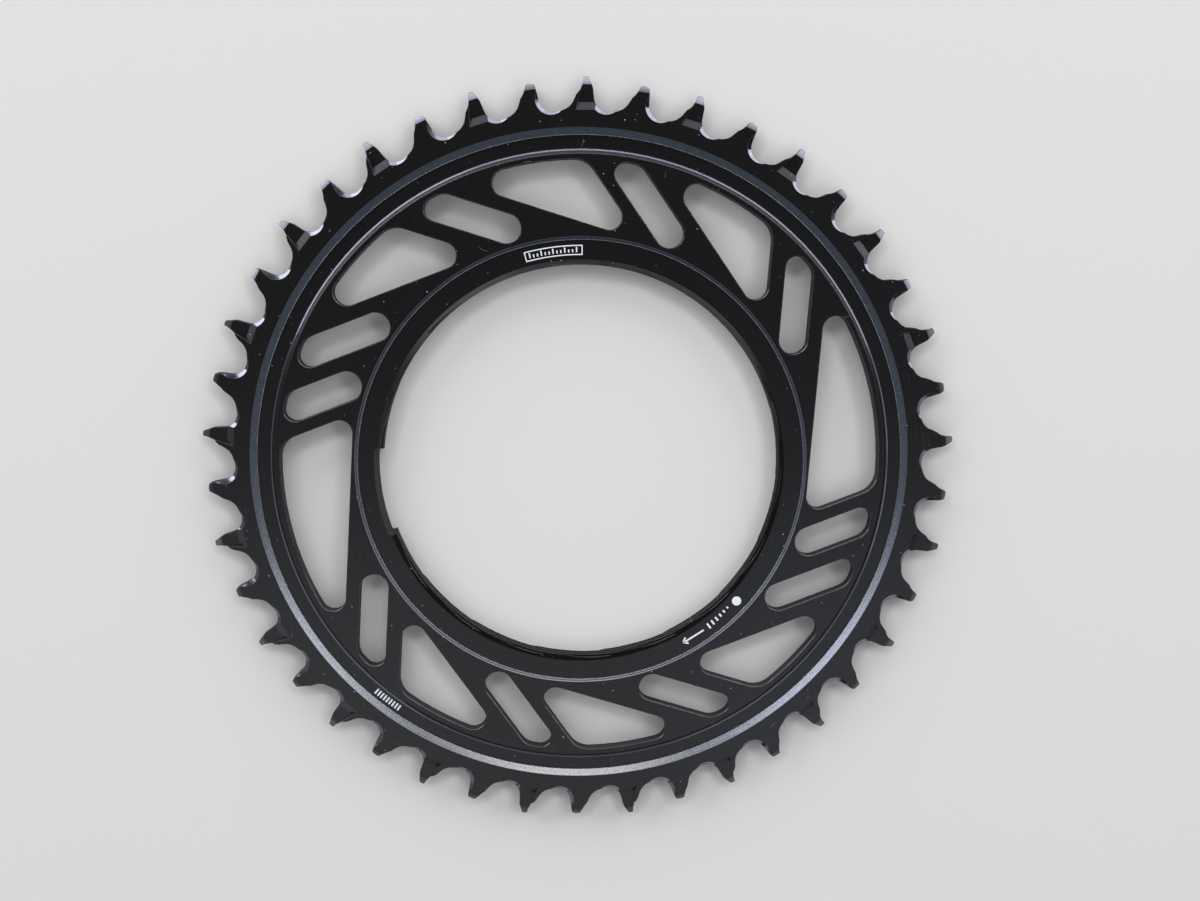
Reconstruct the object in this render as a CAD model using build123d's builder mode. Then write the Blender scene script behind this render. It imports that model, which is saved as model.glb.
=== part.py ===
"""A bicycle chainring: one ring of aluminium, milled from plate, for a crank with a single ring.

The ring lies on its back with its outer face up and its axis on +Z. The teeth are narrow and wide
in turn, for the inner and outer links of the chain. A web of slanting spokes carries the toothed
rim, and a collar with a steep thread of many starts screws on to the crank.
"""
import os
from math import cos, pi, radians, sin, sqrt, tan

from build123d import *

os.makedirs("parts", exist_ok=True)

# Chain: half-inch pitch, so the pitch circle follows from the number of teeth, an even one
TEETH = 42
CHAIN_PITCH = 12.7
PITCH_R = CHAIN_PITCH / 2 / sin(pi / TEETH)
TOOTH_STEP = 360 / TEETH
PAIR_COUNT = TEETH // 2

# Gap between two teeth: x runs clockwise along the pitch circle, y outward from it
SEAT_R = 3.55
SEAT_DROP = 0.44
DRIVE_LEAN = 10.9
RELIEF_SLOPE = 12.8
RELIEF_RUN = 1.0
RELIEF_R = 4.0
TRAIL_LEAN = 62.3

# Tooth, with x from its centre line: the trailing flank has a kink, the tip is a low crown
KINK = (-1.25, -0.3)
TRAIL_MID = (-0.3, 0.96)
TIP_START = 0.35
TIP_CROWN = 0.13
NARROW_TIP = 3.75
NARROW_TIP_WIDTH = 1.25
NARROW_FACET_DROP = 2.35
NARROW_FACET_RUN = 0.95
WIDE_TIP = 2.75
WIDE_TIP_WIDTH = 1.4
WIDE_CORNER = 0.7

# Thickness of the toothed rim, the thinning of the narrow teeth and the bevels of the tips
TOOTH_THICK = 3.6
NARROW_CUT = 0.8
RAMP_FOOT = -3.67
RAMP_RUN = 1.67
NARROW_BEVEL = 1.8
NARROW_BEVEL_DEPTH = 0.6
WIDE_BEVEL = 1.4
WIDE_BEVEL_DEPTH = 0.95
SHOULDER_TOP = (-0.25, 0.5)
SHOULDER_FOOT = (-1.6, -4.6)
CUT_CLEAR = 0.6

# Slanting chamfer on the outer face of every gap, cut by a cone that stands beside the seat
CONE_PLACE = (-0.75, -1.02)
CONE_R = 3.56
CONE_DEPTH = 1.6
CONE_SLOPE = 33.0

# Rim, from the teeth inward: slight bevel, groove, sloping step and the land beside the windows
RIM_DEPTH = 7.47
BEVEL_WIDTH = 1.7
BEVEL_DROP = 0.12
GROOVE_WALL = 0.28
GROOVE_WIDTH = 3.2
STEP_RUN = 1.0
STEP_FILLET = 0.8
WINDOW_LAND = 1.2
BACK_RIM_WIDTH = 2.9

# Web, flange and collar
WEB_RISE = 0.72
WEB_THICK = 2.87
FLANGE_WIDTH = 6.5
FLANGE_BEVEL = 0.8
FLANGE_DROP = 0.035
FLANGE_WALL = 0.16
COLLAR_WALL = 5.15
COLLAR_DROP = 0.1
COLLAR_EDGE = 0.4

# Windows: straight sides at set distances from the axis, along normals at set clockwise turns
SPOKE_TURNS = (-20.95, 17.3, 55.25, 93.9)
SPOKE_LAND = 0.65
SPOKE_WIDTH = 3.3
SLOT_WIDTH = 6.7
SLOT_LAND = 0.9
INNER_SPOKE_WIDTHS = (3.4, 3.75, 2.85, 3.55)
END_SLOT_WIDTH = 7.0
END_SPOKE_WIDTH = 3.0
INNER_CORNER = 3.0
OUTER_CORNER = 3.1
BLUNT_CORNER = 5.5
SLOT_CORNER = 2.6
SLOT_BLUNT = 4.3
WINDOW_EDGE = 0.15

# Threaded bore with a shallow lead-in, and a notch between two clockwise turns
THREAD_CREST_R = 46.7
THREAD_DEPTH = 0.55
THREAD_STARTS = 18
THREAD_SPACING = 1.2
THREAD_ROOT = 0.35
THREAD_FLANK = 0.22
LEAD_IN = 1.2
LEAD_IN_DEPTH = 0.5
NOTCH_DEPTH = 1.35
NOTCH_FROM = 249.6
NOTCH_TO = 275.1
NOTCH_CORNER = 1.2
NOTCH_TAPER = 9.0

# Heights above the surface that the back of the collar lies on
TOOTH_BACK = COLLAR_DROP
TOOTH_FRONT = TOOTH_BACK + TOOTH_THICK
TOOTH_MID = TOOTH_BACK + TOOTH_THICK / 2
WEB_FRONT = TOOTH_FRONT + WEB_RISE
WEB_BACK = WEB_FRONT - WEB_THICK
FLANGE_BEVEL_FOOT = WEB_FRONT - FLANGE_DROP
FLANGE_FRONT = FLANGE_BEVEL_FOOT - FLANGE_WALL
BEVEL_FOOT = TOOTH_FRONT - BEVEL_DROP
GROOVE_FLOOR = BEVEL_FOOT - GROOVE_WALL

# Radii, from the chain inward and from the bore outward
RIM_R = PITCH_R - RIM_DEPTH
GROOVE_OUT_R = RIM_R - BEVEL_WIDTH
STEP_FOOT_R = GROOVE_OUT_R - GROOVE_WIDTH
STEP_TOP_R = STEP_FOOT_R - STEP_RUN
WINDOW_OUT_R = STEP_TOP_R - WINDOW_LAND
BACK_RIM_R = RIM_R - BACK_RIM_WIDTH
THREAD_ROOT_R = THREAD_CREST_R + THREAD_DEPTH
THREAD_LEAD = THREAD_SPACING * THREAD_STARTS
COLLAR_R = THREAD_ROOT_R + COLLAR_WALL
FLANGE_R = THREAD_CREST_R + FLANGE_WIDTH
SLOT_IN_R = FLANGE_R + SLOT_LAND
NOTCH_R = THREAD_ROOT_R + NOTCH_DEPTH
NOTCH_IN_R = THREAD_CREST_R - 3 * NOTCH_DEPTH

# Distances of the sides of the spokes from the axis, row by row
SPOKE_OUT = FLANGE_R + SPOKE_LAND
SLOT_NEAR = SPOKE_OUT - SPOKE_WIDTH - SLOT_WIDTH
INNER_SIDES = [SLOT_NEAR - width for width in INNER_SPOKE_WIDTHS]
END_SLOT_NEAR = INNER_SIDES[0] - END_SLOT_WIDTH
END_SIDE = END_SLOT_NEAR - END_SPOKE_WIDTH

# Tooth cutters: how far they reach and how steep their faces are
CUT_TOP = TOOTH_FRONT + CUT_CLEAR
RAMP_TOP = RAMP_FOOT + RAMP_RUN
RAMP_SLOPE = NARROW_CUT / RAMP_RUN
NARROW_FLOOR = TOOTH_FRONT - NARROW_CUT
NARROW_BEVEL_START = NARROW_TIP - NARROW_BEVEL
NARROW_SLOPE = NARROW_BEVEL_DEPTH / NARROW_BEVEL
WIDE_BEVEL_START = WIDE_TIP - WIDE_BEVEL
WIDE_SLOPE = WIDE_BEVEL_DEPTH / WIDE_BEVEL
CONE_SPREAD = 1 / tan(radians(CONE_SLOPE))


def turned(point, turn):
    """Place a point of a tooth or a gap, given on +Y, at a clockwise turn in degrees."""
    x, y = point[0], PITCH_R + point[1]
    a = radians(turn)
    return (x * cos(a) + y * sin(a), y * cos(a) - x * sin(a))


def moved(point, slope, length):
    """The point a given length further along a slope in degrees."""
    return (point[0] + length * cos(radians(slope)), point[1] + length * sin(radians(slope)))


def tip_start(tip):
    """Top of the trailing flank of a tooth, in that tooth's own frame."""
    return (TIP_START, tip - TIP_CROWN)


def draw_tip(turn, narrow):
    """Draw the tip of one tooth and return the top of its drive flank."""
    tip = NARROW_TIP if narrow else WIDE_TIP
    width = NARROW_TIP_WIDTH if narrow else WIDE_TIP_WIDTH
    crown = (TIP_START + width / 2, tip)
    land_end = (TIP_START + width, tip - TIP_CROWN)
    ThreePointArc(turned(tip_start(tip), turn), turned(crown, turn), turned(land_end, turn))
    if narrow:
        flank_top = (land_end[0] + NARROW_FACET_RUN, land_end[1] - NARROW_FACET_DROP)
        Line(turned(land_end, turn), turned(flank_top, turn))
    else:
        centre = (land_end[0], land_end[1] - WIDE_CORNER)
        flank_top = moved(centre, 0, WIDE_CORNER)
        corner = moved(centre, 45, WIDE_CORNER)
        ThreePointArc(turned(land_end, turn), turned(corner, turn), turned(flank_top, turn))
    return turned(flank_top, turn)


def draw_gap(flank_top, turn, next_tip):
    """Draw one gap, from a drive flank through the roller seat to the next trailing flank."""
    seat = (0, -SEAT_DROP)
    flank_foot = moved(seat, 180 + DRIVE_LEAN, SEAT_R)
    seat_bottom = moved(seat, 270, SEAT_R)
    seat_end = moved(seat, 270 + RELIEF_SLOPE, SEAT_R)
    relief = moved(seat_end, RELIEF_SLOPE, RELIEF_RUN)
    relief_centre = moved(relief, RELIEF_SLOPE + 90, RELIEF_R)
    relief_middle = moved(relief_centre, 270 + (RELIEF_SLOPE + TRAIL_LEAN) / 2, RELIEF_R)
    relief_end = moved(relief_centre, 270 + TRAIL_LEAN, RELIEF_R)
    next_turn = turn + TOOTH_STEP / 2
    kink = turned(KINK, next_turn)
    Line(flank_top, turned(flank_foot, turn))
    ThreePointArc(turned(flank_foot, turn), turned(seat_bottom, turn), turned(seat_end, turn))
    Line(turned(seat_end, turn), turned(relief, turn))
    ThreePointArc(turned(relief, turn), turned(relief_middle, turn), turned(relief_end, turn))
    Line(turned(relief_end, turn), kink)
    ThreePointArc(kink, turned(TRAIL_MID, next_turn), turned(tip_start(next_tip), next_turn))


def side_plane(turn):
    """A plane whose x runs outward along the normal of a spoke's sides."""
    return Plane((0, 0, 0), x_dir=(sin(radians(turn)), cos(radians(turn)), 0), z_dir=(0, 0, 1))


def round_corners(opening, corners, radii):
    """Fillet the corners of a sketch one by one, each with its own radius."""
    for corner, radius in zip(corners, radii):
        fillet(opening.vertices().sort_by_distance(corner)[0], radius)


def slot_window(turn, near, width):
    """A slot between two spokes, with a round inner end and its outer end on the rim."""
    middle = near + width / 2
    start = sqrt((SLOT_IN_R + width / 2) ** 2 - middle ** 2)
    with BuildSketch(side_plane(turn)) as opening:
        with Locations((middle, start)):
            Circle(width / 2)
            Rectangle(width, WINDOW_OUT_R, align=(Align.CENTER, Align.MIN))
        Circle(WINDOW_OUT_R, mode=Mode.INTERSECT)
        outer = opening.vertices().sort_by(Axis.Y)[-2:].sort_by(Axis.X)
        round_corners(opening, outer, (SLOT_CORNER, SLOT_BLUNT))
    return opening.sketch


def wide_window(turn, next_turn, next_side):
    """The three-sided window between a spoke, the next row's spoke and the rim."""
    a = radians(next_turn - turn)
    reach = WINDOW_OUT_R * 3
    with BuildSketch(side_plane(turn)) as opening:
        Circle(WINDOW_OUT_R)
        with Locations((SPOKE_OUT, 0)):
            Rectangle(reach, reach, align=(Align.MIN, Align.CENTER), mode=Mode.INTERSECT)
        with Locations(Location((next_side * cos(a), -next_side * sin(a), 0), (0, 0, turn - next_turn))):
            Rectangle(reach, reach, align=(Align.MAX, Align.CENTER), mode=Mode.INTERSECT)
        corners = opening.vertices().sort_by(Axis.Y)
        round_corners(opening, corners, (INNER_CORNER, BLUNT_CORNER, OUTER_CORNER))
    return opening.sketch


with BuildPart() as narrow_cut:
    # Takes both faces of a narrow tooth down a ramp and bevels its tip, but leaves a shoulder
    with BuildSketch(Plane.YZ.offset(SHOULDER_FOOT[0])):
        with BuildLine():
            Polyline(
                (PITCH_R + RAMP_FOOT - CUT_CLEAR / RAMP_SLOPE, CUT_TOP),
                (PITCH_R + RAMP_TOP, NARROW_FLOOR),
                (PITCH_R + NARROW_BEVEL_START, NARROW_FLOOR),
                (PITCH_R + NARROW_TIP + CUT_CLEAR, NARROW_FLOOR - NARROW_SLOPE * (NARROW_BEVEL + CUT_CLEAR)),
                (PITCH_R + NARROW_TIP + CUT_CLEAR, CUT_TOP),
                close=True,
            )
        make_face()
    extrude(amount=CHAIN_PITCH / 2 - SHOULDER_FOOT[0])
    with BuildSketch():
        with BuildLine():
            Polyline(
                turned((SHOULDER_FOOT[0], SHOULDER_FOOT[1] - CUT_CLEAR), 0),
                turned(SHOULDER_FOOT, 0),
                turned(SHOULDER_TOP, 0),
                turned((SHOULDER_FOOT[0], SHOULDER_TOP[1]), 0),
                close=True,
            )
        make_face()
    extrude(amount=CUT_TOP, mode=Mode.SUBTRACT)
    mirror(about=Plane.XY.offset(TOOTH_MID))

with BuildPart() as wide_cut:
    # Bevels both faces of the tip of a wide tooth
    with BuildSketch(Plane.YZ):
        with BuildLine():
            Polyline(
                (PITCH_R + WIDE_BEVEL_START - CUT_CLEAR / WIDE_SLOPE, CUT_TOP),
                (PITCH_R + WIDE_TIP + CUT_CLEAR, TOOTH_FRONT - WIDE_SLOPE * (WIDE_BEVEL + CUT_CLEAR)),
                (PITCH_R + WIDE_TIP + CUT_CLEAR, CUT_TOP),
                close=True,
            )
        make_face()
    extrude(amount=CHAIN_PITCH / 4, both=True)
    mirror(about=Plane.XY.offset(TOOTH_MID))

with BuildPart() as gap_cut:
    # Chamfers the outer face along one roller seat
    with Locations((*turned(CONE_PLACE, TOOTH_STEP / 2), TOOTH_FRONT - CONE_DEPTH)):
        Cone(
            CONE_R - CONE_DEPTH * CONE_SPREAD,
            CONE_R + CUT_CLEAR * CONE_SPREAD,
            CONE_DEPTH + CUT_CLEAR,
            align=(Align.CENTER, Align.CENTER, Align.MIN),
        )

with BuildPart() as thread_cut:
    # One start of the thread: a groove swept past both faces of the collar
    with BuildLine() as helix:
        Helix(THREAD_LEAD, FLANGE_FRONT + THREAD_SPACING, THREAD_CREST_R, center=(0, 0, -THREAD_SPACING / 2))
    with BuildSketch(Plane(helix.line @ 0, x_dir=(1, 0, 0), z_dir=helix.line % 0)):
        with BuildLine():
            Polyline(
                (-THREAD_DEPTH, -THREAD_ROOT / 2 - 2 * THREAD_FLANK),
                (THREAD_DEPTH, -THREAD_ROOT / 2),
                (THREAD_DEPTH, THREAD_ROOT / 2),
                (-THREAD_DEPTH, THREAD_ROOT / 2 + 2 * THREAD_FLANK),
                close=True,
            )
        make_face()
    sweep(is_frenet=True)

with BuildPart() as notch:
    # Sinks through the flange and narrows with depth
    with BuildSketch(Plane.XY.offset(FLANGE_FRONT)) as opening:
        with BuildLine():
            CenterArc((0, 0), NOTCH_R, 90 - NOTCH_TO, NOTCH_TO - NOTCH_FROM)
            CenterArc((0, 0), NOTCH_IN_R, 90 - NOTCH_TO, NOTCH_TO - NOTCH_FROM)
            for turn in (NOTCH_FROM, NOTCH_TO):
                Line(moved((0, 0), 90 - turn, NOTCH_IN_R), moved((0, 0), 90 - turn, NOTCH_R))
        make_face()
        outer = opening.vertices().filter_by(lambda v: v.center().length > THREAD_ROOT_R)
        fillet(outer, NOTCH_CORNER)
    extrude(amount=-FLANGE_FRONT, taper=NOTCH_TAPER)

with BuildPart() as chainring:
    # Web, flange and collar, turned
    with BuildSketch(Plane.XZ) as section:
        with BuildLine():
            Polyline(
                (THREAD_CREST_R, 0),
                (COLLAR_R - COLLAR_EDGE, 0),
                (COLLAR_R, COLLAR_EDGE),
                (COLLAR_R, WEB_BACK),
                (BACK_RIM_R - (WEB_BACK - TOOTH_BACK), WEB_BACK),
                (BACK_RIM_R, TOOTH_BACK),
                (RIM_R, TOOTH_BACK),
                (RIM_R, TOOTH_FRONT),
                (GROOVE_OUT_R, BEVEL_FOOT),
                (GROOVE_OUT_R, GROOVE_FLOOR),
                (STEP_FOOT_R, GROOVE_FLOOR),
                (STEP_TOP_R, WEB_FRONT),
                (FLANGE_R, WEB_FRONT),
                (FLANGE_R - FLANGE_BEVEL, FLANGE_BEVEL_FOOT),
                (FLANGE_R - FLANGE_BEVEL, FLANGE_FRONT),
                (THREAD_CREST_R + LEAD_IN, FLANGE_FRONT),
                (THREAD_CREST_R, FLANGE_FRONT - LEAD_IN_DEPTH),
                close=True,
            )
        make_face()
        fillet(section.vertices().sort_by_distance((STEP_FOOT_R, GROOVE_FLOOR))[0], STEP_FILLET)
    revolve(axis=Axis.Z)
    # Windows between the spokes, in two like halves, with their front edges broken
    with BuildSketch():
        for half in (0, 180):
            turns = [half + turn for turn in SPOKE_TURNS]
            next_half = 180 + turns[0]
            for turn in turns:
                add(slot_window(turn, SLOT_NEAR, SLOT_WIDTH))
            for turn, next_turn, next_side in zip(turns, turns[1:], INNER_SIDES[1:]):
                add(wide_window(turn, next_turn, next_side))
            add(slot_window(next_half, END_SLOT_NEAR, END_SLOT_WIDTH))
            add(wide_window(turns[-1], next_half, END_SIDE))
    extrude(amount=WEB_FRONT, mode=Mode.SUBTRACT)
    rims = chainring.edges().filter_by_position(Axis.Z, WEB_FRONT, WEB_FRONT)
    chamfer(rims.filter_by(lambda e: not e.is_closed), WINDOW_EDGE)
    # Thread and notch
    with PolarLocations(0, THREAD_STARTS):
        add(thread_cut.part, mode=Mode.SUBTRACT)
    add(notch.part, mode=Mode.SUBTRACT)
    # Toothed rim, narrow and wide teeth in turn
    with BuildSketch(Plane.XY.offset(TOOTH_BACK)):
        with BuildLine():
            for k in range(TEETH):
                flank_top = draw_tip(k * TOOTH_STEP, narrow=k % 2 == 0)
                draw_gap(flank_top, (k + 0.5) * TOOTH_STEP, WIDE_TIP if k % 2 == 0 else NARROW_TIP)
        make_face()
        Circle(RIM_R, mode=Mode.SUBTRACT)
    extrude(amount=TOOTH_THICK)
    with PolarLocations(0, PAIR_COUNT):
        add(narrow_cut.part, mode=Mode.SUBTRACT)
    with PolarLocations(0, PAIR_COUNT, start_angle=TOOTH_STEP):
        add(wide_cut.part, mode=Mode.SUBTRACT)
    with PolarLocations(0, TEETH):
        add(gap_cut.part, mode=Mode.SUBTRACT)

chainring.part.label = "chainring"
export_step(chainring.part, "parts/chainring.step")
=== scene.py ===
# %% [markdown]
# # A black chainring on a pale bench
# A chainring is milled and turned from one aluminium plate and then anodised black. Its shape is
# exact, so it comes from the CAD frame as it is. This lesson gives it the finishes that the eye
# reads on the real one: satin black faces with fine turned lines, two rings that are cut bright,
# smooth chamfers on the teeth, worn tips and edges, a painted shade that darkens the tips towards
# their inner end, a little dust, and a few white marks printed on the face.

# %% Load the frame and keep its box
import math

import bmesh
import bpy
from mathutils import Matrix, Vector


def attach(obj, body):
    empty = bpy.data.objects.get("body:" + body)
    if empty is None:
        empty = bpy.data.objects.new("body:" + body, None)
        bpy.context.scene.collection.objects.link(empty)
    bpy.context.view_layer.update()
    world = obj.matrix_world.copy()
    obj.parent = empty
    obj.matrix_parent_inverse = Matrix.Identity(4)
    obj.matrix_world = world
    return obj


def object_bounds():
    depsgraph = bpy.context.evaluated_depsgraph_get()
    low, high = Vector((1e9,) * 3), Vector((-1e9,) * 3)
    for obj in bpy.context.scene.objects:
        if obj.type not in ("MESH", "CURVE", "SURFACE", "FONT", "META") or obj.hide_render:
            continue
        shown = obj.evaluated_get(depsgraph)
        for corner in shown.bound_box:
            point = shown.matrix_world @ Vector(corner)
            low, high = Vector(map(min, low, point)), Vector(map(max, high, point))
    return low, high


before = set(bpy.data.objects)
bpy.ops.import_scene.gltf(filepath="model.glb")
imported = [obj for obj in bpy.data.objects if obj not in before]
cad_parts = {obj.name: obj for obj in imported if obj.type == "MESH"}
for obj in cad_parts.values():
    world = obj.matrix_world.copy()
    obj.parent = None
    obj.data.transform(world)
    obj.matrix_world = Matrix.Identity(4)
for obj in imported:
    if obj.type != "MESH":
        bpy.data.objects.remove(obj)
bpy.context.view_layer.update()
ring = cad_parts["chainring"]
cad_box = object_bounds()
MM = 0.001
print("ring box in mm:", [[round(v / MM, 2) for v in corner] for corner in cad_box])

# %% [markdown]
# ## Camera
# The ring lies on its back, so a camera that looks down on it sees it as a viewer in front of a
# hanging ring would. It stands close, which makes the near side a little larger, and slightly off
# the axis towards the ring's upper side. A place, an aim point, a small roll and a lens say all of
# that. The usual tracking helper keeps world Z up in the picture, which means nothing to a camera
# that looks straight down, so the three axes are worked out here with the ring's +Y as the
# picture's up.

# %% Camera above the ring
CAMERA_PLACE = Vector((-6.33, 49.62, 291.97)) * MM
CAMERA_AIM = Vector((4.29, 3.4, 3.7)) * MM
CAMERA_ROLL = math.radians(0.14)
FRAME_WIDTH_PX = 1200
FOCAL_PX = 1240
SENSOR_WIDTH = 36.0

lens = bpy.data.cameras.new("bench_camera")
lens.sensor_width = SENSOR_WIDTH
lens.lens = SENSOR_WIDTH * FOCAL_PX / FRAME_WIDTH_PX
lens.clip_start = 0.01
camera = bpy.data.objects.new("bench_camera", lens)
back = (CAMERA_PLACE - CAMERA_AIM).normalized()
right = Vector((0, 1, 0)).cross(back).normalized()
axes = Matrix((right, back.cross(right), back)).transposed()
camera.location = CAMERA_PLACE
camera.rotation_euler = (axes @ Matrix.Rotation(CAMERA_ROLL, 3, "Z")).to_euler()
bpy.context.scene.collection.objects.link(camera)
bpy.context.scene.camera = camera
distance = (CAMERA_AIM - CAMERA_PLACE).length
print("lens", round(lens.lens, 2), "mm, aimed from", round(distance / MM), "mm away")

# %% [markdown]
# ## Small helpers for shader nodes
# A material is a graph of nodes. Building it in code stays readable with a few helpers: one adds a
# node and fills its sockets, one makes a Math node, one makes a soft mask for a range of values,
# and one starts a node group, which is how an effect is built once and then placed in any
# material.


# %% Node helpers
def add_node(tree, kind, values=None, **properties):
    """Add a shader node, set its properties and fill the sockets that values names."""
    node = tree.nodes.new("ShaderNode" + kind)
    for name, value in properties.items():
        setattr(node, name, value)
    for name, value in (values or {}).items():
        plug(tree, value, node.inputs[name])
    return node


def plug(tree, value, socket):
    """Link a socket, or set it if the value is a plain number or colour."""
    if isinstance(value, bpy.types.NodeSocket):
        tree.links.new(value, socket)
    else:
        socket.default_value = value


def maths(tree, operation, *values):
    """A Math node on sockets or numbers; returns its output."""
    return add_node(tree, "Math", dict(enumerate(values)), operation=operation).outputs[0]


def ramp(tree, value, start, end):
    """0 before start, 1 after end, smooth between; start may be the larger one."""
    limits = {"Value": value, "From Min": start, "From Max": end}
    return add_node(tree, "MapRange", limits, interpolation_type="SMOOTHSTEP").outputs[0]


def between(tree, value, low, high, soft):
    """1 where a value lies between two limits, with soft edges."""
    rising = ramp(tree, value, low - soft, low + soft)
    falling = ramp(tree, value, high + soft, high - soft)
    return maths(tree, "MULTIPLY", rising, falling)


def mix_colour(tree, amount, first, second):
    """Blend two colours; returns the blended colour."""
    node = add_node(tree, "Mix", {0: amount, 6: first, 7: second}, data_type="RGBA")
    return node.outputs[2]


# %% Helpers for node groups and materials
def new_group(name, inputs, outputs):
    """A shader node group with number sockets; returns its tree and its two end nodes."""
    tree = bpy.data.node_groups.new(name, "ShaderNodeTree")
    for title, value in inputs.items():
        socket = tree.interface.new_socket(title, in_out="INPUT", socket_type="NodeSocketFloat")
        socket.default_value = value
    for title in outputs:
        tree.interface.new_socket(title, in_out="OUTPUT", socket_type="NodeSocketFloat")
    return tree, tree.nodes.new("NodeGroupInput"), tree.nodes.new("NodeGroupOutput")


def place_group(tree, group, **values):
    """Put a group into a material with its own values."""
    node = add_node(tree, "Group")
    node.node_tree = group
    for title, value in values.items():
        node.inputs[title].default_value = value
    return node


def new_material(name):
    """A material with one Principled shader; returns the material, its tree and that shader."""
    material = bpy.data.materials.new(name)
    material.use_nodes = True
    return material, material.node_tree, material.node_tree.nodes["Principled BSDF"]


# %% Helpers that read the place on the ring
def in_plan(tree, vector):
    """A place or a distance as seen from above, in millimetres."""
    scale = {0: vector, 1: (1 / MM, 1 / MM, 0)}
    return add_node(tree, "VectorMath", scale, operation="MULTIPLY").outputs["Vector"]


def axis_distance(tree, place):
    """Distance from the ring's axis in millimetres."""
    flat = in_plan(tree, place.outputs["Object"])
    return add_node(tree, "VectorMath", {0: flat}, operation="LENGTH").outputs["Value"]


def lean_of(tree, place):
    """Upward part of the surface normal: 1 on a face that looks up, 0 on a wall, -1 underneath."""
    return add_node(tree, "SeparateXYZ", {0: place.outputs["Normal"]}).outputs["Z"]


# %% [markdown]
# ## Turned lines
# A lathe leaves fine rings on every face it cuts. They run round the axis, so they depend only on
# the distance from it. Noise along that one number gives lines of uneven strength, as a worn
# cutting tip does. A regular wave would look like a record instead.

# %% Node group: turned lines
lines_group, lines_in, lines_out = new_group("turned_lines", {"Pitch": 0.35}, ["Lines"])
place = add_node(lines_group, "TexCoord")
turns = maths(lines_group, "DIVIDE", axis_distance(lines_group, place), lines_in.outputs["Pitch"])
noise_values = {"W": turns, "Scale": 1.0, "Detail": 3.0, "Roughness": 0.65}
noise = add_node(lines_group, "TexNoise", noise_values, noise_dimensions="1D")
plug(lines_group, noise.outputs["Fac"], lines_out.inputs["Lines"])
print("group", lines_group.name)

# %% [markdown]
# ## Dust and fibres
# A black satin face shows every speck. Voronoi cells scatter them: each cell draws lots from its
# own random colour, and the winners carry one uneven grain or one short bent fibre. So nothing is
# placed by hand, and the dust stays where it is in every view. The cells are laid out in plan, and
# only faces that look up keep what settles on them, because the walls would show streaks
# otherwise.

# %% Scatter helpers
SETTLE_LEAN = (0.7, 0.95)


def scatter(tree, spacing):
    """Cells at a spacing in mm, seen from above; returns the place, the cells and their lots."""
    place = add_node(tree, "TexCoord")
    values = {"Vector": place.outputs["Object"], "Scale": maths(tree, "DIVIDE", 1 / MM, spacing)}
    cells = add_node(tree, "TexVoronoi", values, voronoi_dimensions="2D")
    lots = add_node(tree, "SeparateColor", {0: cells.outputs["Color"]})
    return place, cells, lots.outputs


def settled(tree, place, lot, share, shape):
    """Keep a shape in the share of the cells that win, and only on faces that look up."""
    winner = maths(tree, "LESS_THAN", lot, share)
    upward = ramp(tree, lean_of(tree, place), *SETTLE_LEAN)
    return maths(tree, "MULTIPLY", shape, maths(tree, "MULTIPLY", winner, upward))


# %% Node group: dust specks
GRAIN_NOISE = 8000.0
dust_inputs = {"Spacing": 2.4, "Share": 0.2, "Grain": 0.05}
dust_group, dust_in, dust_out = new_group("dust_specks", dust_inputs, ["Specks"])
place, cells, lots = scatter(dust_group, dust_in.outputs["Spacing"])
grain = maths(dust_group, "MULTIPLY", lots[1], dust_in.outputs["Grain"])
noise_values = {"Vector": place.outputs["Object"], "Scale": GRAIN_NOISE}
uneven = add_node(dust_group, "TexNoise", noise_values).outputs["Fac"]
stretch = maths(dust_group, "MULTIPLY", uneven, 2)
outline = maths(dust_group, "MULTIPLY", cells.outputs["Distance"], stretch)
inside = maths(dust_group, "LESS_THAN", outline, grain)
speck = maths(dust_group, "MULTIPLY", lots[2], inside)
speck = settled(dust_group, place, lots[0], dust_in.outputs["Share"], speck)
plug(dust_group, speck, dust_out.inputs["Specks"])
print("group", dust_group.name)

# %% Node group: fibres
FIBRE_BEND = 0.6
fibre_inputs = {"Spacing": 14.0, "Share": 0.4, "Reach": 1.6, "Width": 0.07}
fibre_group, fibre_in, fibre_out = new_group("fibres", fibre_inputs, ["Fibres"])
place, cells, lots = scatter(fibre_group, fibre_in.outputs["Spacing"])
ends = {0: place.outputs["Object"], 1: cells.outputs["Position"]}
offset = add_node(fibre_group, "VectorMath", ends, operation="SUBTRACT").outputs["Vector"]
turn = maths(fibre_group, "MULTIPLY", lots[1], 2 * math.pi)
turned_values = {"Vector": in_plan(fibre_group, offset), "Angle": turn}
turned = add_node(fibre_group, "VectorRotate", turned_values, rotation_type="Z_AXIS")
along, across, _ = add_node(fibre_group, "SeparateXYZ", {0: turned.outputs[0]}).outputs
bend = maths(fibre_group, "MULTIPLY", maths(fibre_group, "SUBTRACT", lots[2], 0.5), FIBRE_BEND)
curve = maths(fibre_group, "MULTIPLY", along, along)
across = maths(fibre_group, "MULTIPLY_ADD", curve, bend, across)
half_width = maths(fibre_group, "DIVIDE", fibre_in.outputs["Width"], 2)
thin = maths(fibre_group, "LESS_THAN", maths(fibre_group, "ABSOLUTE", across), half_width)
reach = maths(fibre_group, "MULTIPLY", lots[2], fibre_in.outputs["Reach"])
short = maths(fibre_group, "LESS_THAN", maths(fibre_group, "ABSOLUTE", along), reach)
fibre = maths(fibre_group, "MULTIPLY", thin, short)
fibre = settled(fibre_group, place, lots[0], fibre_in.outputs["Share"], fibre)
plug(fibre_group, fibre, fibre_out.inputs["Fibres"])
print("group", fibre_group.name)
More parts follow.
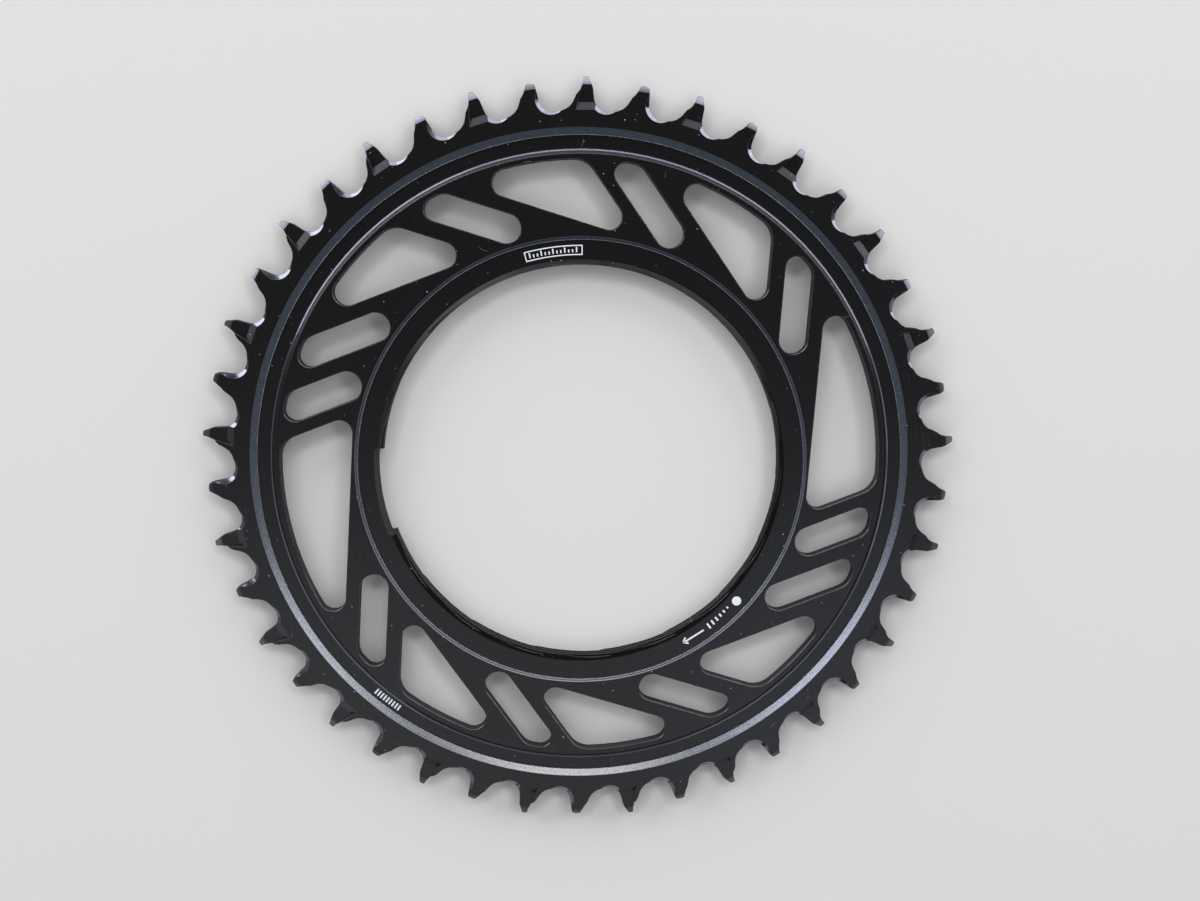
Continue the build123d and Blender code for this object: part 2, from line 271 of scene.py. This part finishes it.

# %% [markdown]
# ## Where the metal is cut
# The last cuts are made after the black finish, or with a polished tool. The ring round the groove
# and the ring round the flange are bare metal, and the flange ring has one fine score line. The
# chamfers of the tooth gaps and the foot of the step are smooth and lighter. The tips and the
# edges of the windows are worn, and the upright walls are milled and rougher than the turned
# faces. The tips also get a painted shade: they darken towards their inner end, which stands in
# for the shading of a rounded bevel. Masks could be painted by hand, but each of these places has
# its own distance from the axis and its own lean, which the surface normal gives, so two ranges
# are enough to find it.

# %% Radii in mm and leans of the cut places
FRONT_HEIGHT = 3.5
FLAT_LEAN = (0.9, 1.1)
RIM_RING = (75.8, 77.5)
FLANGE_RING = (52.4, 53.2)
FLANGE_SCORE = (52.71, 52.91)
CHAMFER_R = (79.5, 86.0)
CHAMFER_LEAN = (0.8, 0.87)
TIP_R = (86.2, 95.0)
TIP_LEAN = (0.78, 0.97)
# Radii over which the tip mask rises: a painted shade, darker towards the inner end of the tip
# bevel
TIP_WEAR_AND_SHADE = (86.3, 88.2)
STEP_R = (72.3, 73.1)
STEP_LEAN = (0.5, 0.985)
WINDOW_R = (53.5, 71.0)
WINDOW_LEAN = (0.6, 0.8)
LEAD_IN_R = (46.75, 47.95)
LEAD_IN_LEAN = (0.87, 0.97)
WALL_LEAN = (0.35, 0.15)
SOFT_R = 0.05
SOFT_LEAN = 0.01
print("rim ring", RIM_RING, "and flange ring", FLANGE_RING, "in mm from the axis")

# %% Node group: cut zones
ZONES = ["Rim", "Flange", "Smooth", "Lead in", "Walls"]
zone_group, _, zone_out = new_group("cut_zones", {}, ZONES)
place = add_node(zone_group, "TexCoord")
radius = axis_distance(zone_group, place)
lean = maths(zone_group, "ABSOLUTE", lean_of(zone_group, place))
height = add_node(zone_group, "SeparateXYZ", {0: place.outputs["Object"]}).outputs["Z"]
front = maths(zone_group, "GREATER_THAN", height, FRONT_HEIGHT * MM)


def both(first, second):
    """Where two masks of the zone group overlap."""
    return maths(zone_group, "MULTIPLY", first, second)


def zone(radii, leans):
    """Mask of the faces between two radii whose lean lies between two limits."""
    near = between(zone_group, radius, *radii, SOFT_R)
    return both(near, between(zone_group, lean, *leans, SOFT_LEAN))


def share_of(value, start, end, least):
    """A ramp that starts at a given least amount instead of 0."""
    return maths(zone_group, "MULTIPLY_ADD", ramp(zone_group, value, start, end), 1 - least, least)


# %% Rings that are cut bright
FLANGE_LEAST = 0.8
SCORE_STRENGTH = 0.8
flange = both(zone(FLANGE_RING, FLAT_LEAN), share_of(radius, *FLANGE_RING, FLANGE_LEAST))
score = both(flange, between(zone_group, radius, *FLANGE_SCORE, SOFT_R))
flange = maths(zone_group, "MULTIPLY_ADD", score, -SCORE_STRENGTH, flange)
plug(zone_group, both(front, zone(RIM_RING, FLAT_LEAN)), zone_out.inputs["Rim"])
plug(zone_group, both(front, flange), zone_out.inputs["Flange"])
print("bright rings found with", len(zone_group.nodes), "nodes")

# %% Smooth and worn places, and the painted shade on the tips
# Strength of the tip mask at its inner end, where the painted shade is darkest
TIP_SHADE_LEAST = 0.35
WINDOW_WEAR = 0.5
PATCH_SCALE = 1200.0
PATCH_RANGE = (0.4, 0.6)
# Painted shade on the worn tips: the mask fades towards their inner end, imitating a rounded
# bevel's shading
worn_and_shaded_tips = both(zone(TIP_R, TIP_LEAN), share_of(radius, *TIP_WEAR_AND_SHADE, TIP_SHADE_LEAST))
patch_values = {"Vector": place.outputs["Object"], "Scale": PATCH_SCALE, "Detail": 2.0}
patches = add_node(zone_group, "TexNoise", patch_values).outputs["Fac"]
patches = maths(zone_group, "MULTIPLY", ramp(zone_group, patches, *PATCH_RANGE), WINDOW_WEAR)
edges = both(zone(WINDOW_R, WINDOW_LEAN), patches)
smooth = maths(zone_group, "MAXIMUM", zone(CHAMFER_R, CHAMFER_LEAN), zone(STEP_R, STEP_LEAN))
smooth = maths(zone_group, "MAXIMUM", smooth, maths(zone_group, "MAXIMUM", worn_and_shaded_tips, edges))
plug(zone_group, smooth, zone_out.inputs["Smooth"])
plug(zone_group, zone(LEAD_IN_R, LEAD_IN_LEAN), zone_out.inputs["Lead in"])
plug(zone_group, ramp(zone_group, lean, *WALL_LEAN), zone_out.inputs["Walls"])
print("group", zone_group.name, "with", len(zone_group.nodes), "nodes")

# %% [markdown]
# ## Black anodised aluminium
# One Principled shader carries the whole ring. Anodising is a layer of glassy oxide with black dye
# in it, so the faces are a dark dielectric with a higher index than plastic, and the turned lines
# vary their roughness and bump. The cut zones switch to metal: nearly white on the two rings, with
# the streaks of the tool, and dark grey on the smooth and worn places, where the dye is thin. On
# the tips that grey fades towards black at their inner end, a painted shade that stands in for the
# shading of a rounded bevel. The lead-in of the bore keeps its oxide but is polished, and the
# milled walls are duller. Dust lies over everything. A Bevel node rounds the shading of the sharp
# edges by a fraction of a millimetre, because no real edge is perfectly sharp.

# %% Colours of the ring
BLACK = (0.0042, 0.0034, 0.0028, 1)
BRIGHT = (0.95, 0.97, 1.0, 1)
BRIGHT_DULL = (0.66, 0.67, 0.71, 1)
SMOOTH = (0.121, 0.126, 0.139, 1)
DUST = (0.62, 0.61, 0.59, 1)
FIBRE_SHOW = 0.22
TOOL_PITCH = 0.12
SPECKLE_SCALE = 4000.0
STREAK_SHARE = 0.5
STREAK_RANGE = (0.55, 0.9)

anodised, tree, shader = new_material("black_anodised")
zones = place_group(tree, zone_group)
dust = place_group(tree, dust_group)
fibres = place_group(tree, fibre_group)
tool_lines = place_group(tree, lines_group, Pitch=TOOL_PITCH)
speckle = add_node(tree, "TexNoise", {"Scale": SPECKLE_SCALE, "Detail": 2.0})
plug(tree, add_node(tree, "TexCoord").outputs["Object"], speckle.inputs["Vector"])
streak = tool_lines.outputs["Lines"]
streak = maths(tree, "MULTIPLY_ADD", streak, STREAK_SHARE, speckle.outputs["Fac"])
bright = mix_colour(tree, ramp(tree, streak, *STREAK_RANGE), BRIGHT_DULL, BRIGHT)
colour = mix_colour(tree, zones.outputs["Smooth"], BLACK, SMOOTH)
colour = mix_colour(tree, zones.outputs["Flange"], colour, BRIGHT_DULL)
colour = mix_colour(tree, zones.outputs["Rim"], colour, bright)
fibre_show = maths(tree, "MULTIPLY", fibres.outputs["Fibres"], FIBRE_SHOW)
colour = mix_colour(tree, fibre_show, colour, DUST)
plug(tree, mix_colour(tree, dust.outputs["Specks"], colour, DUST), shader.inputs["Base Color"])
print("colours of", anodised.name, "take", len(tree.nodes), "nodes")

# %% Metal, gloss and edges of the ring
OXIDE_INDEX = 1.58
SATIN = 0.22
SATIN_SPREAD = 0.1
CUT_POLISH = 0.15
WALL_ROUGH = 0.6
FLANGE_POLISH = 0.75
EDGE_ROUND = 0.15
LINE_PITCH = 0.35
LINE_DEPTH = 0.05
LINE_STRENGTH = 0.06
RING_FROM = 0.03
SMOOTH_FROM = 0.3

lines = place_group(tree, lines_group, Pitch=LINE_PITCH)
smooth = maths(tree, "GREATER_THAN", zones.outputs["Smooth"], SMOOTH_FROM)
rings = maths(tree, "MAXIMUM", zones.outputs["Rim"], zones.outputs["Flange"])
metal = maths(tree, "MAXIMUM", smooth, maths(tree, "GREATER_THAN", rings, RING_FROM))
plug(tree, metal, shader.inputs["Metallic"])
polished = maths(tree, "MAXIMUM", smooth, zones.outputs["Lead in"])
polished = maths(tree, "MAXIMUM", polished, zones.outputs["Rim"])
flange_polish = maths(tree, "MULTIPLY", zones.outputs["Flange"], FLANGE_POLISH)
polished = maths(tree, "MAXIMUM", polished, flange_polish)
satin = maths(tree, "MULTIPLY_ADD", lines.outputs["Lines"], SATIN_SPREAD, SATIN)
satin = maths(tree, "MULTIPLY_ADD", zones.outputs["Walls"], WALL_ROUGH, satin)
plug(tree, maths(tree, "MULTIPLY_ADD", polished, -CUT_POLISH, satin), shader.inputs["Roughness"])
shader.inputs["IOR"].default_value = OXIDE_INDEX
rounded = add_node(tree, "Bevel", {"Radius": EDGE_ROUND * MM}, samples=6)
bump_values = {"Strength": LINE_STRENGTH, "Distance": LINE_DEPTH * MM}
bump = add_node(tree, "Bump", {**bump_values, "Normal": rounded.outputs["Normal"]})
plug(tree, lines.outputs["Lines"], bump.inputs["Height"])
plug(tree, bump.outputs["Normal"], shader.inputs["Normal"])
ring.data.materials[0] = anodised
print("material", anodised.name, "with", len(tree.nodes), "nodes")

# %% [markdown]
# ## Printed marks
# The face carries a few white marks: a framed scale, a dot with growing bars and an arrow, and a
# row of bars in the groove. They could be a texture, but ink has a thickness and a crisp edge, so
# each mark is a very thin plate that lies on the metal. All of them start as flat faces from bmesh
# operators: a bar is a grid of one face, a field that follows the ring is a short edge spun round
# the axis, and one extrude at the end gives them all their height. A ray cast down on the ring
# tells how high the metal is under a mark.

# %% Ink helpers
FIELD_STEPS = 24


def on_face(turn, radius, height):
    """A frame on the face at a clockwise turn: x runs clockwise along the circle, y outward."""
    outward = Matrix.Translation((0, radius * MM, height))
    return Matrix.Rotation(-math.radians(turn), 4, "Z") @ outward


def face_height(turn, radius):
    """Height of the ring's front face at a place, found by a ray cast straight down."""
    above = on_face(turn, radius, 2 * cad_box[1][2]).translation
    _, place, _, _ = ring.ray_cast(above, (0, 0, -1))
    return place.z


def spread(first, last, count):
    """Evenly spaced values from first to last."""
    return [first + k * (last - first) / (count - 1) for k in range(count)]


def add_bar(ink, width, length, matrix):
    """A flat rectangle, centred on the matrix, with its width along x."""
    shape = Matrix.Diagonal((width * MM, length * MM, 1, 1))
    bmesh.ops.create_grid(ink, x_segments=1, y_segments=1, size=0.5, matrix=matrix @ shape)


def add_field(ink, turns, radii, height):
    """A flat field that follows the ring, made by spinning one radial edge; returns its faces."""
    start = Matrix.Rotation(-math.radians(turns[0]), 4, "Z")
    ends = [ink.verts.new(start @ Vector((0, r * MM, height))) for r in radii]
    edge = ink.edges.new(ends)
    sweep = math.radians(turns[0] - turns[1])
    known = set(ink.faces)
    bmesh.ops.spin(ink, geom=[*ends, edge], axis=(0, 0, 1), angle=sweep, steps=FIELD_STEPS)
    return [face for face in ink.faces if face not in known]


# %% Framed scale
FIELD_TURNS = (344.9, 360.2)
FIELD_R = (48.9, 51.2)
FIELD_LINE = 0.25
TICK_TURNS = (346.2, 358.6)
TICKS = 13
TICK_WIDTH = 0.3
TICK_FOOT_R = 49.55
TICK_LONG = 1.2
TICK_SHORT = 0.7
LONG_EVERY = 3

ink = bmesh.new()
flange_face = face_height(FIELD_TURNS[0], FIELD_R[1])
field = add_field(ink, FIELD_TURNS, FIELD_R, flange_face)
line = FIELD_LINE * MM
bmesh.ops.inset_region(ink, faces=field, thickness=line, use_boundary=True, use_even_offset=True)
bmesh.ops.delete(ink, geom=field, context="FACES")
for k, turn in enumerate(spread(*TICK_TURNS, TICKS)):
    length = TICK_SHORT if k % LONG_EVERY else TICK_LONG
    add_bar(ink, TICK_WIDTH, length, on_face(turn, TICK_FOOT_R + length / 2, flange_face))
print("scale on the flange at", round(flange_face / MM, 3), "mm")

# %% Dot, growing bars and arrow
MARK_R = 50.0
DOT_TURN = 131.8
DOT_R = 1.12
DOT_SEGMENTS = 48
BAR_TURNS = (134.9, 142.15)
BAR_WIDTH = 0.45
BAR_FOOT_R = 49.25
BAR_LENGTHS = spread(0.5, 1.5, 6)
SHAFT_TURN = 147.2
SHAFT_LENGTH = 5.6
ARROW_TURN = 150.6
BARB_LENGTH = 1.3
BARB_LEAN = 40
STROKE = 0.42

dot = on_face(DOT_TURN, MARK_R, flange_face)
bmesh.ops.create_circle(ink, cap_ends=True, radius=DOT_R * MM, segments=DOT_SEGMENTS, matrix=dot)
for turn, length in zip(spread(*BAR_TURNS, len(BAR_LENGTHS)), BAR_LENGTHS):
    add_bar(ink, BAR_WIDTH, length, on_face(turn, BAR_FOOT_R + length / 2, flange_face))
add_bar(ink, SHAFT_LENGTH, STROKE, on_face(SHAFT_TURN, MARK_R, flange_face))
for side in (1, -1):
    barb = Matrix.Rotation(math.radians(side * BARB_LEAN), 4, "Z")
    barb = barb @ Matrix.Translation((-BARB_LENGTH / 2 * MM, 0, 0))
    add_bar(ink, BARB_LENGTH, STROKE, on_face(ARROW_TURN, MARK_R, flange_face) @ barb)
print("dot, bars and arrow:", len(ink.faces), "faces so far")

# %% Row of bars in the groove
ROW_TURNS = (216.6, 221.8)
ROW_COUNT = 9
ROW_R = 74.35
ROW_BAR = (0.42, 1.5)
groove_face = face_height(ROW_TURNS[0], ROW_R)
for turn in spread(*ROW_TURNS, ROW_COUNT):
    add_bar(ink, *ROW_BAR, on_face(turn, ROW_R, groove_face))
print("row in the groove at", round(groove_face / MM, 3), "mm")

# %% Give the ink its height
INK_HEIGHT = 0.02 * MM
INK_SINK = 0.005 * MM
raised = bmesh.ops.extrude_face_region(ink, geom=ink.faces[:])
top = [v for v in raised["geom"] if isinstance(v, bmesh.types.BMVert)]
bmesh.ops.translate(ink, vec=(0, 0, INK_HEIGHT + INK_SINK), verts=top)
bmesh.ops.translate(ink, vec=(0, 0, -INK_SINK), verts=ink.verts)
bmesh.ops.recalc_face_normals(ink, faces=ink.faces)
marks_mesh = bpy.data.meshes.new("printed_marks")
ink.to_mesh(marks_mesh)
ink.free()
marks = bpy.data.objects.new("printed_marks", marks_mesh)
bpy.context.scene.collection.objects.link(marks)
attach(marks, "root")
print("piece", marks.name, "with", len(marks_mesh.polygons), "faces")

# %% Material: white ink
INK_WORN = (0.7, 0.7, 0.69, 1)
INK_FULL = (0.95, 0.95, 0.94, 1)
INK_GRAIN = 9000.0
INK_ROUGH = 0.55
white_ink, tree, shader = new_material("white_ink")
grain = add_node(tree, "TexNoise", {"Scale": INK_GRAIN, "Detail": 2.0})
plug(tree, add_node(tree, "TexCoord").outputs["Object"], grain.inputs["Vector"])
plug(tree, mix_colour(tree, grain.outputs["Fac"], INK_WORN, INK_FULL), shader.inputs["Base Color"])
shader.inputs["Roughness"].default_value = INK_ROUGH
marks_mesh.materials.append(white_ink)
print("material", white_ink.name)

# %% [markdown]
# ## Bench
# The ring lies on a plain pale board that runs far past the picture's edge. One large round face
# is enough. It ends just inside the lights, so a camera that stands low doesn't see a dark board
# behind them. It has hardly any gloss, so it carries the ring's soft shadow and no reflection of
# it.

# %% Bench
BENCH_RADIUS = 1.9
BENCH_SEGMENTS = 96
BOARD = (0.75, 0.715, 0.645, 1)
BOARD_ROUGH = 0.7
BOARD_GLOSS = 0.2
bench_bmesh = bmesh.new()
bmesh.ops.create_circle(bench_bmesh, cap_ends=True, radius=BENCH_RADIUS, segments=BENCH_SEGMENTS)
bench_mesh = bpy.data.meshes.new("bench")
bench_bmesh.to_mesh(bench_mesh)
bench_bmesh.free()
bench = bpy.data.objects.new("bench", bench_mesh)
bpy.context.scene.collection.objects.link(bench)
board, tree, shader = new_material("pale_board")
shader.inputs["Base Color"].default_value = BOARD
shader.inputs["Roughness"].default_value = BOARD_ROUGH
shader.inputs["Specular IOR Level"].default_value = BOARD_GLOSS
bench_mesh.materials.append(board)
print("bench", 2 * BENCH_RADIUS, "m wide")

# %% [markdown]
# ## Soft panels
# A black glossy thing shows little colour of its own: what the eye sees is the light that it
# mirrors. So the lights are panels whose brightness and place in the sky are chosen for the faces
# that mirror them. A lamp's energy would change with its size, so the helper takes the brightness
# of the panel's surface and works the energy out. A second helper hangs a panel by its turn and
# rise, as an astronomer points at a star.

# %% Panel helpers
SKY_DISTANCE = 2.0


def soft_panel(name, place, facing, size, radiance, colour):
    """A flat soft light whose surface has a given brightness, whatever its size."""
    lamp = bpy.data.lights.new(name, "AREA")
    lamp.shape = "RECTANGLE"
    lamp.size, lamp.size_y = size
    lamp.energy = radiance * math.pi * size[0] * size[1]
    lamp.color = colour
    holder = bpy.data.objects.new(name, lamp)
    holder.location = place
    holder.rotation_euler = Vector(facing).to_track_quat("-Z", "Y").to_euler()
    holder.visible_camera = False
    bpy.context.scene.collection.objects.link(holder)


def sky_panel(name, turn, rise, span, height, radiance, colour):
    """A panel that fills a patch of sky, in degrees: a clockwise turn from +Y and a rise."""
    level = SKY_DISTANCE * math.cos(math.radians(rise))
    place = Matrix.Rotation(-math.radians(turn), 3, "Z") @ Vector((0, level, 0))
    place.z = SKY_DISTANCE * math.sin(math.radians(rise))
    width = 2 * level * math.tan(math.radians(span / 2))
    depth = 2 * SKY_DISTANCE * math.tan(math.radians(height / 2))
    soft_panel(name, place, -place, (width, depth), radiance, colour)


# %% [markdown]
# ## Far side
# Beyond the ring's upper side stands a curved softbox, made of three turns of flat panels. It has
# a bright band high up for the tips, a dim one in the middle, which keeps the ramps of the narrow
# teeth dark, and a bright one low down for the chamfers and the foot of the step. The low band is
# strongest at its two ends, because the step glints most there.

# %% Curved softbox in three bands
COOL = (0.95, 0.98, 1.08)
NEUTRAL = (1, 1, 1)
SKY_TURNS = {"left": -48, "centre": 2, "right": 52}
SKY_SPAN = 50
# Each band: rise, height, radiance
SKY_BANDS = {"high": (44, 12, 4.0), "mid": (31, 14, 0.2), "low": (14, 20, 3.8)}
SKY_GAIN = {"low_left": 1.7, "low_right": 1.2}
for band, (rise, height, radiance) in SKY_BANDS.items():
    for side, turn in SKY_TURNS.items():
        gain = SKY_GAIN.get(f"{band}_{side}", 1)
        sky_panel(f"sky_{band}_{side}", turn, rise, SKY_SPAN, height, radiance * gain, COOL)
print("softbox:", len(SKY_BANDS) * len(SKY_TURNS), "panels")

# %% [markdown]
# ## Other sides
# Dim cards stand round the rest of the bench. Without them the chamfers and tips of the lower
# teeth would have nothing to mirror and would vanish. Three of them have a foot close to the
# bench, for the chamfers, and a gap above it, which keeps the ramps of the narrow teeth dark. The
# right side is brighter than the left one.

# %% Dim cards
# Each card: turn, rise, span, height, radiance, colour
CARDS = {
    "right": (98, 42, 42, 18, 1.5, COOL),
    "right_foot": (98, 6, 42, 12, 0.9, COOL),
    "low_right": (140, 36, 42, 24, 0.8, NEUTRAL),
    "low_right_foot": (140, 5, 42, 10, 1.2, COOL),
    "near": (183, 34, 44, 22, 0.5, NEUTRAL),
    "near_foot": (183, 5, 44, 10, 1.2, COOL),
    "low_left": (228, 24, 44, 48, 0.75, COOL),
    "left": (268, 25, 38, 50, 0.45, COOL),
}
for side, values in CARDS.items():
    sky_panel(f"card_{side}", *values)
print("cards:", list(CARDS))

# %% [markdown]
# ## Near side
# Three large panels hang high over the near side. The flat faces and the bright rings of the lower
# half mirror them, and those of the upper half look past their far edge, so the ring goes from
# deep black at the top to soft grey at the bottom. The slits between the panels give the bright
# rings their two dark breaks.

# %% Three large panels overhead
NEAR_HEIGHT = 3.0
NEAR_EDGE = -0.68
NEAR_DEPTH = 2.4
NEAR_RADIANCE = 0.7
# Each panel: left end, right end, colour
NEAR_PANELS = {
    "near_left": (-1.8, -0.225, (0.95, 0.98, 1.07)),
    "near_middle": (-0.085, 0.16, (1.03, 1.0, 0.96)),
    "near_right": (0.29, 1.9, (0.91, 0.96, 1.13)),
}
for name, (start, end, colour) in NEAR_PANELS.items():
    centre = ((start + end) / 2, NEAR_EDGE - NEAR_DEPTH / 2, NEAR_HEIGHT)
    soft_panel(name, centre, (0, 0, -1), (end - start, NEAR_DEPTH), NEAR_RADIANCE, colour)
print("near panels:", list(NEAR_PANELS))

# %% [markdown]
# ## Surround
# The room behind the panels is dim, or it would grey the black faces. A camera that stands low
# would see that dim room past the bench, so camera rays get a pale backdrop instead. A Light Path
# node tells the two apart.

# %% World
ROOM = (0.04, 0.048, 0.06, 1)
BACKDROP = (0.72, 0.71, 0.69, 1)
world = bpy.data.worlds.new("studio")
world.use_nodes = True
tree = world.node_tree
seen = add_node(tree, "LightPath").outputs["Is Camera Ray"]
plug(tree, mix_colour(tree, seen, ROOM, BACKDROP), tree.nodes["Background"].inputs["Color"])
bpy.context.scene.world = world
bpy.context.scene.view_settings.view_transform = "Standard"
